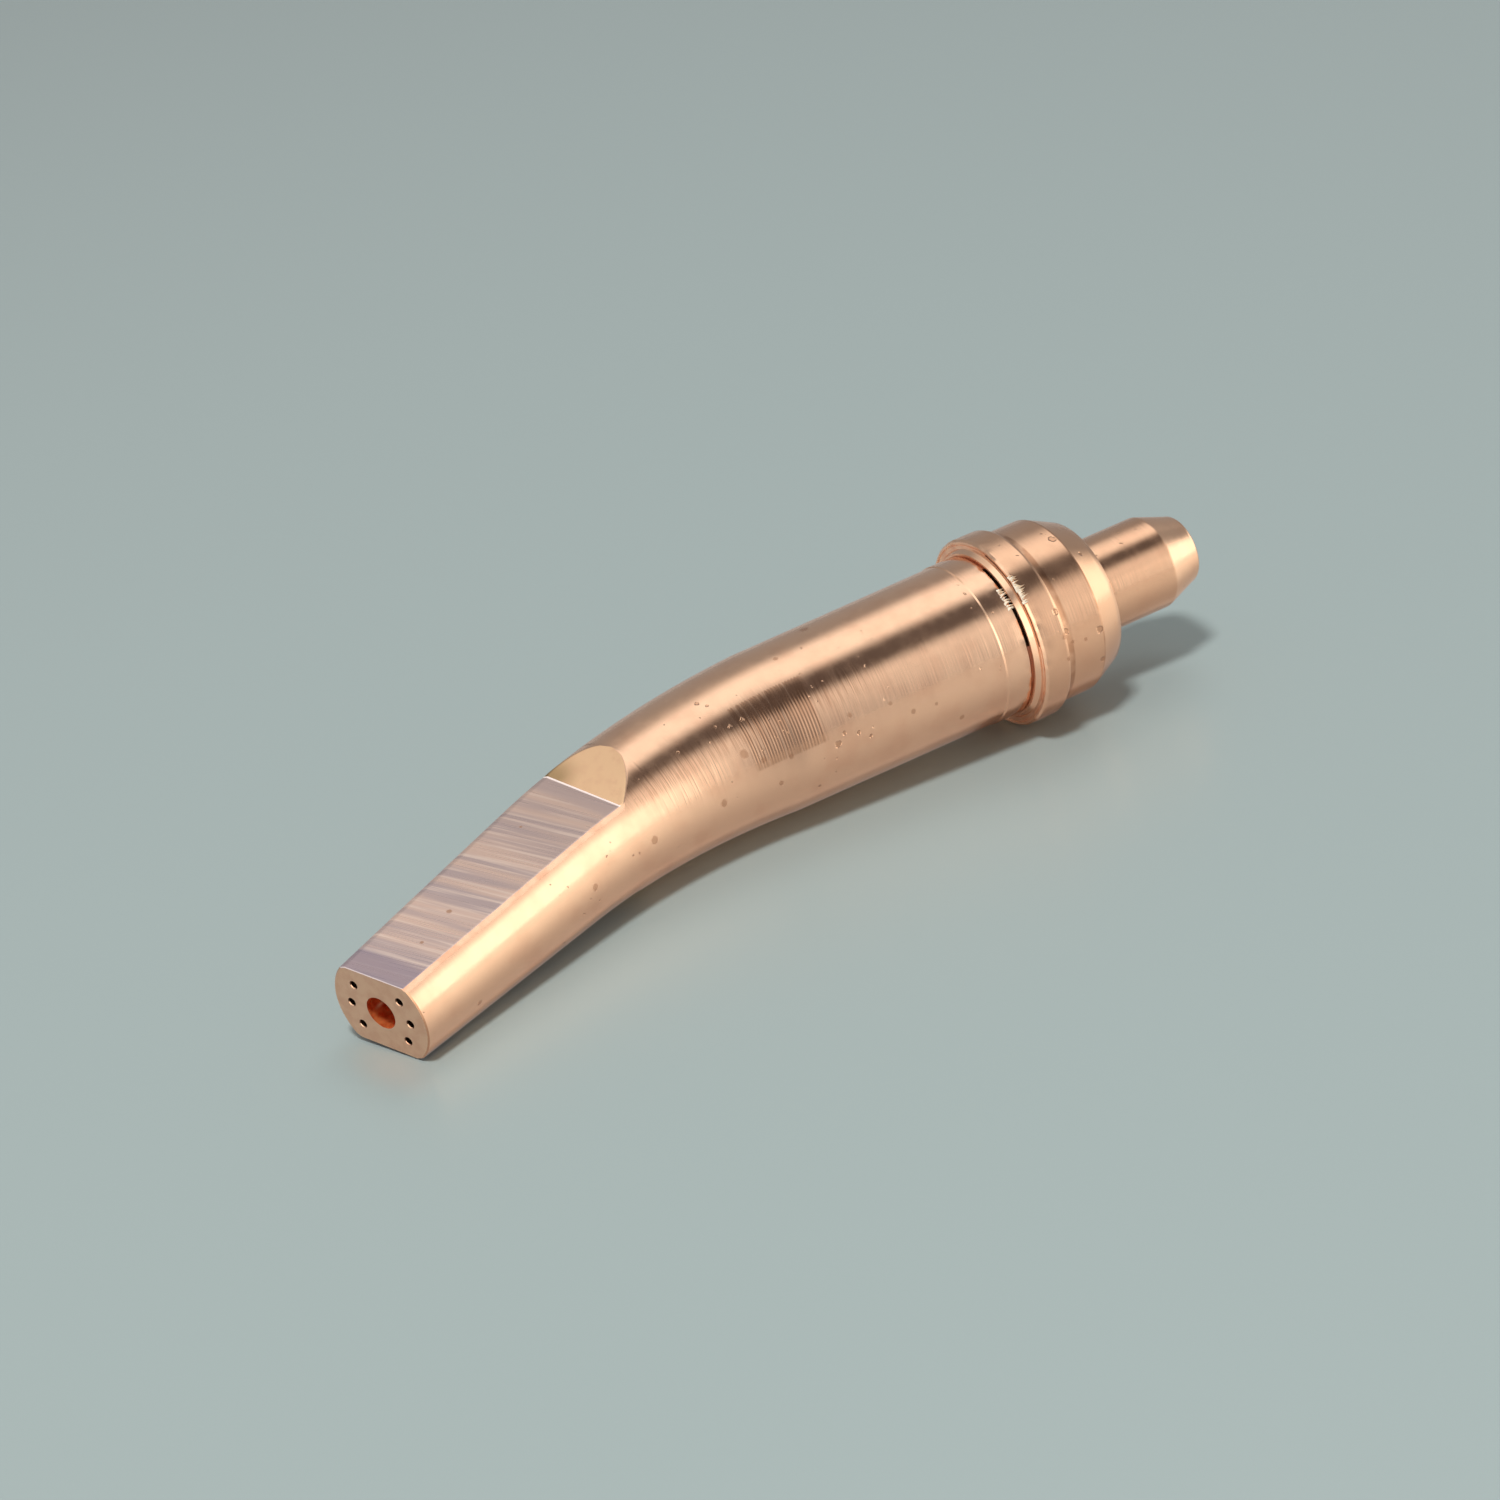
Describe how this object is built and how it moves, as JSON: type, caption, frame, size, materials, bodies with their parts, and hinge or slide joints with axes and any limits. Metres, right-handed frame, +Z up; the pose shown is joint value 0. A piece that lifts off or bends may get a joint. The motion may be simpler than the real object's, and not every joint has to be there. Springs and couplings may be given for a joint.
{
  "type": "cutting torch tip",
  "caption": "Bent copper gas cutting tip with pilot spigot, cone seat, flange, milled flats and a central oxygen bore ringed by preheat holes.",
  "frame": {"origin": "centre of the bounding box's bottom face, on the surface the tip lies on", "axes": "+X from the pilot towards the front face, +Z up, with the bend nearly level and the front turned towards +Y"},
  "size_m": [0.1018, 0.0246, 0.0201],
  "materials": {
    "copper": "satin turned copper"
  },
  "bodies": {
    "root": {"cutting_tip": "copper"}
  },
  "joints": []
}
